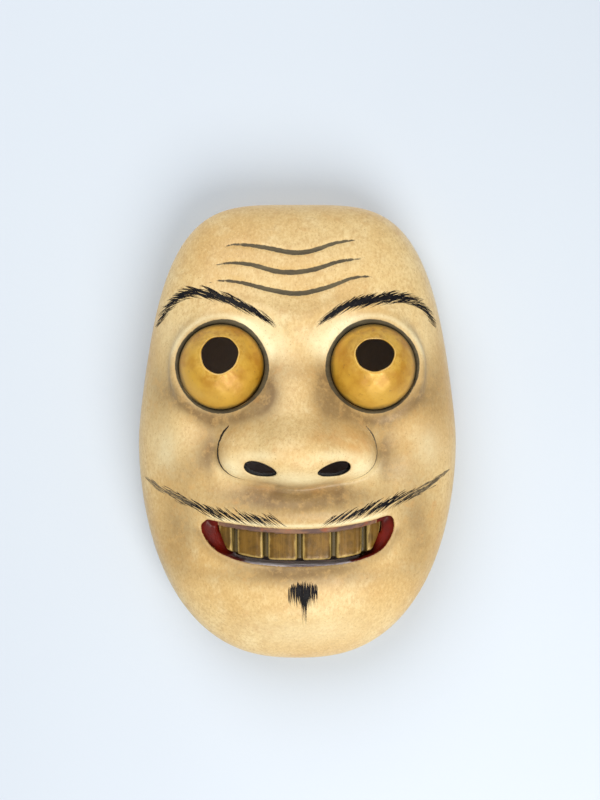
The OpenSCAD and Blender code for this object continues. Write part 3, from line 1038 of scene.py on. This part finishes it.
def mouth_paint(f, color, cloudy, fine):
    """The strip round the teeth, the painted glint on the lower lip, the red corners and the wood between
    the caps.
    """
    smear = f.noise(260, 3, 0.6, stretch=(0.3, 1, 1))
    gum = f.mix("gum", "gum_dark", f.ramp(smear, 0.4, 0.62))
    gum = f.mix(gum, "gum_red", f.ramp(f.noise(150, 4, 0.6), 0.55, 0.7, 0, 0.7))
    split = f.add("ShaderNodeSeparateXYZ", {0: f.place}).outputs
    low = f.ramp(split[2], LIP_Z * MM, (LIP_Z - 4) * MM)
    front = f.ramp(split[1], -LIP_D * MM, -(LIP_D + 6) * MM)
    lower_lip = f.times(low, front)
    # Painted glint: pale greyish paint on the lower lip's inner wall.
    smear = f.noise(210, 4, 0.6, stretch=(0.4, 1, 1))
    painted_glint = f.mix("lip_glint", "lip_grey", f.ramp(smear, 0.42, 0.6))
    gum = f.mix(gum, painted_glint, lower_lip)
    color = f.mix(color, gum, f.ramp(f.value("strip"), 0.3, 0.8))
    blood = f.mix("red", "dark_red", f.ramp(cloudy, 0.35, 0.65))
    color = f.mix(color, blood, f.ramp(f.value("red"), 0.35, 0.75))
    olive = f.mix("olive", "dark_olive", fine)
    return f.mix(color, olive, f.ramp(f.value("olive"), 0.3, 0.8))


def lacquer(f, cloudy):
    """The dark lacquer of the hollow, worn to the wood along the rim."""
    streak = f.noise(90, 4, 0.6, stretch=(1, 1, 0.25))
    color = f.mix("lacquer", "lacquer_brown", f.ramp(streak, 0.4, 0.75))
    color = f.mix(color, "lacquer_black", f.ramp(cloudy, 0.5, 0.75, 0, 0.7))
    wear = f.times(f.value("rim"), f.ramp(f.noise(190, 5, 0.7), 0.5, 0.62))
    return f.mix(color, "bare_wood", f.times(wear, 0.75))


def painted_wood():
    f = Finish("painted_wood", Specular_IOR_Level=0.42)
    cloudy = f.noise(75, 4, 0.6)
    fine = f.noise(420, 3, 0.6)
    speck = f.noise(1500, 2, 0.5)
    color = skin(f, cloudy, fine, speck)
    color, drawn = drawn_lines(f, color, fine)
    color = mouth_paint(f, color, cloudy, fine)
    # Painted shade: near black inside the nostrils.
    dark = f.ramp(f.value("dark"), 0.25, 0.85)
    color = f.mix(color, "nostril", dark)
    back = f.ramp(f.value("back"), 0.35, 0.65)
    color = f.mix(color, lacquer(f, cloudy), back)
    rough = f.ramp(cloudy, 0.3, 0.7, 0.36, 0.5)
    rough = f.plus(rough, f.times(back, -0.08))
    rough = f.plus(rough, f.times(drawn, 0.3))
    rough = f.plus(rough, f.times(dark, 0.45))
    normal = f.bump(f.noise(260, 4, 0.6), 0.0006, 0.35)
    normal = f.bump(speck, 0.0002, 0.35, normal)
    return f.finish(color, rough, normal)


def gilt_eye():
    f = Finish("gilt_eye", Metallic=0.15, Coat_Weight=0.25, Coat_Roughness=0.46, Specular_IOR_Level=0.45)
    cloudy = f.noise(95, 4, 0.6)
    fine = f.noise(520, 3, 0.6)
    color = f.mix("eye_gold", "eye_deep_gold", f.ramp(cloudy, 0.38, 0.66))
    edge, rim = f.value("edge"), f.value("rim")
    split = f.add("ShaderNodeSeparateXYZ", {0: f.place}).outputs[2]
    # Painted light: the plate is lighter towards the bottom, as if lit from below.
    low = f.ramp(split, (EYE_Z - 4) * MM, (EYE_Z - 17) * MM)
    color = f.mix(color, "eye_low", f.times(low, 0.55))
    # Painted shade towards the top of the plate, mottled brown.
    high = f.ramp(split, (EYE_Z + 2) * MM, (EYE_Z + 17) * MM)
    top_shade = f.times(high, f.ramp(f.noise(170, 5, 0.7, distortion=0.6), 0.45, 0.68))
    color = f.mix(color, "eye_dirt", f.times(top_shade, 0.75))
    halo = f.ramp(edge, 5.5, 1.0)
    color = f.mix(color, "eye_halo", f.times(halo, f.ramp(fine, 0.35, 0.6, 0.1, 0.6)))
    pale = f.ramp(f.plus(edge, fine), 1.2, 0.9, 0, 0.7)
    color = f.mix(color, "eye_edge", f.times(pale, f.ramp(cloudy, 0.4, 0.62)))
    color = f.mix(color, "eye_fleck", f.ramp(fine, 0.62, 0.72, 0, 0.35))
    stain = f.plus(rim, f.ramp(cloudy, 0.3, 0.7, -0.5, 0.6))
    color = f.mix(color, "eye_rim", f.ramp(stain, 1.9, 0.2, 0, 0.8))
    color = f.mix(color, "eye_outline", f.ramp(f.plus(rim, fine), 0.9, 0.55, 0, 0.9))
    rough = f.ramp(f.noise(300, 4, 0.6), 0.3, 0.7, 0.36, 0.5)
    normal = f.bump(f.noise(130, 3, 0.5), 0.0006, 0.35)
    normal = f.bump(fine, 0.0002, 0.4, normal)
    return f.finish(color, rough, normal)


def gilt_tooth():
    f = Finish("gilt_tooth", Metallic=0.2, Specular_IOR_Level=0.5)
    brush = f.noise(700, 4, 0.6, stretch=(1, 1, 0.07))
    cloudy = f.noise(150, 4, 0.6)
    color = f.mix("tooth_gold", "tooth_deep_gold", f.ramp(cloudy, 0.35, 0.65))
    color = f.mix(color, "tooth_light", f.ramp(brush, 0.52, 0.7, 0, 0.45))
    color = f.mix(color, "tooth_dark", f.ramp(brush, 0.46, 0.3, 0, 0.4))
    edge = f.value("edge")
    worn = f.ramp(f.plus(edge, f.ramp(cloudy, 0.3, 0.7, -0.3, 0.4)), 1.3, 0.5)
    color = f.mix(color, "tooth_worn", f.times(worn, 0.6))
    # Darker along the cap's sides and lower edge.
    edge_dark = f.ramp(f.plus(edge, f.ramp(brush, 0.3, 0.7, -0.2, 0.2)), 0.28, 0.0)
    color = f.mix(color, "tooth_grime", f.times(edge_dark, 0.8))
    rough = f.ramp(brush, 0.3, 0.7, 0.32, 0.5)
    normal = f.bump(brush, 0.0003, 0.5)
    normal = f.bump(cloudy, 0.0005, 0.3, normal)
    return f.finish(color, rough, normal)


def ink_paint():
    f = Finish("ink", Specular_IOR_Level=0.22)
    streak = f.noise(500, 3, 0.6)
    color = f.mix("ink", "ink_grey", f.ramp(streak, 0.5, 0.75))
    faded = f.ramp(f.plus(f.value("faded"), f.ramp(streak, 0.3, 0.7, -0.15, 0.15)), 0.1, 1.0)
    color = f.mix(color, "ink_faded", faded)
    normal = f.bump(streak, 0.0001, 0.4)
    return f.finish(color, f.ramp(streak, 0.3, 0.7, 0.4, 0.6), normal)


# ---- camera, stage and light ----

CAMERA_PLACE = (0.0012, -0.6, 0.0144)  # metres: straight in front of the face
LENS = 56.2  # focal length in millimetres
FLOOR_Y, FLOOR_REACH = 1.5, 3000.0  # millimetres: just behind the rear rim, and how far it spreads

# name: place and diameter in metres, watts, colour
LAMPS = {
    "key": ((0.22, -0.7, -0.5), 0.6, 6.0, (1, 0.97, 0.92)),
    "fill": ((-0.25, -0.8, 0.6), 0.9, 6.0, (1, 0.98, 0.95)),
    "rear": ((0.25, 0.7, 0.35), 0.8, 3.6, (1, 0.97, 0.92)),
}
SKY = (0.82, 0.88, 0.96, 1)
SKY_LIGHT, SKY_SEEN = 0.42, 0.8  # the sky's strength as light, and as the camera sees it


def make_camera():
    data = bpy.data.cameras.new("camera")
    data.lens = LENS
    camera = bpy.data.objects.new("camera", data)
    camera.location = CAMERA_PLACE
    camera.rotation_euler = (math.radians(90), 0, 0)
    bpy.context.scene.collection.objects.link(camera)
    bpy.context.scene.camera = camera


def make_stage():
    """The pale floor that the rear rim lies on, upright in this frame. It is clear from behind and casts
    no shadow, so that the hollow can be seen and lit."""
    corners = [(FLOOR_REACH * x, FLOOR_Y, FLOOR_REACH * z) for x, z in ((-1, -1), (1, -1), (1, 1), (-1, 1))]
    stage = make_mesh("stage", corners, [(0, 1, 2, 3)])
    f = Finish("stage")
    color = f.mix("floor", "floor_shade", f.noise(3, 3))
    f.finish(color, 0.8, f.bump(f.noise(900, 2), 0.0002, 0.1))
    clear = f.add("ShaderNodeBsdfTransparent").outputs[0]
    behind = f.add("ShaderNodeNewGeometry").outputs["Backfacing"]
    shadow = f.add("ShaderNodeLightPath").outputs["Is Shadow Ray"]
    see_through = f.math("MAXIMUM", behind, shadow)
    mix = f.add("ShaderNodeMixShader", {0: see_through, 1: f.shader.outputs[0], 2: clear})
    f.tree.links.new(mix.outputs[0], f.tree.nodes["Material Output"].inputs["Surface"])
    stage.data.materials.append(f.material)


def lamp(name, place, size, energy, color):
    """A round lamp that points at the origin."""
    light = bpy.data.lights.new(name, "AREA")
    light.shape = "DISK"
    light.size, light.energy, light.color = size, energy, color
    obj = bpy.data.objects.new(name, light)
    obj.location = place
    obj.rotation_euler = (-Vector(place)).to_track_quat("-Z", "Y").to_euler()
    bpy.context.scene.collection.objects.link(obj)


def make_light():
    scene = bpy.context.scene
    scene.view_settings.view_transform = "Standard"
    scene.world = bpy.data.worlds.new("world")
    scene.world.use_nodes = True
    tree = scene.world.node_tree
    sky = tree.nodes["Background"]
    sky.inputs[0].default_value = SKY
    seen = tree.nodes.new("ShaderNodeLightPath").outputs["Is Camera Ray"]
    strength = tree.nodes.new("ShaderNodeMapRange")
    strength.inputs["To Min"].default_value = SKY_LIGHT
    strength.inputs["To Max"].default_value = SKY_SEEN
    tree.links.new(seen, strength.inputs["Value"])
    tree.links.new(strength.outputs[0], sky.inputs[1])
    for name, (place, size, energy, color) in LAMPS.items():
        lamp(name, place, size, energy, color)


def add_piece(piece, material, slot, *nodes):
    """Gives a piece its material, hangs it on the root and hides the CAD nodes that it stands in for. Its
    slot is not used.
    """
    piece.data.materials.append(material)
    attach(piece, "root")
    if nodes:
        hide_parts(*nodes)


make_camera()
make_stage()
make_light()
wood = sculpt()
points, quads = wood.mesh()
shell = make_mesh("carved_shell", points, quads, paint(wood, points))
add_piece(shell, painted_wood(), "painted_wood", "mask_shell")

gilt = gilt_eye()
for side, node in ((-1, "right_eye_plate"), (1, "left_eye_plate")):
    add_piece(eye_dome(side), gilt, "gilt_eye", node)
gilt = gilt_tooth()
for node in TEETH:
    add_piece(tooth_cap(node), gilt, "gilt_tooth", node)

black = ink_paint()
tree = BVHTree.FromPolygons([tuple(p * MM) for p in points], [tuple(int(i) for i in q) for q in quads])
for name, line, side, count, stops in (
    ("brow_right", BROW_RIGHT, -1, 290, BROW_STOPS),
    ("brow_left", BROW_LEFT, 1, 290, BROW_STOPS),
    ("moustache_right", MOUSTACHE_RIGHT, -1, 150, MOUSTACHE_STOPS),
    ("moustache_left", MOUSTACHE_LEFT, 1, 150, MOUSTACHE_STOPS),
):
    ink = Ink(name, tree)
    hairs(ink, line, side, count, stops, SEED + side)
    add_piece(ink.piece(), black, "painted_wood")
ink = Ink("goatee", tree)
goatee(ink)
add_piece(ink.piece(), black, "painted_wood")
# Painted shade in the creases beside the nose's wings, laid on as faded ink lines.
ink = Ink("nose_crease_shade", tree)
for side in (-1, 1):
    line = curve_points([(-side * x, z) for x, z in WING_CREASE], 0.8)
    ink.stroke(line, 2.0 - 0.6 * side, 0.4 + 0.2 * side)  # painted shade, broader and darker on the right
add_piece(ink.piece(), black, "painted_wood")
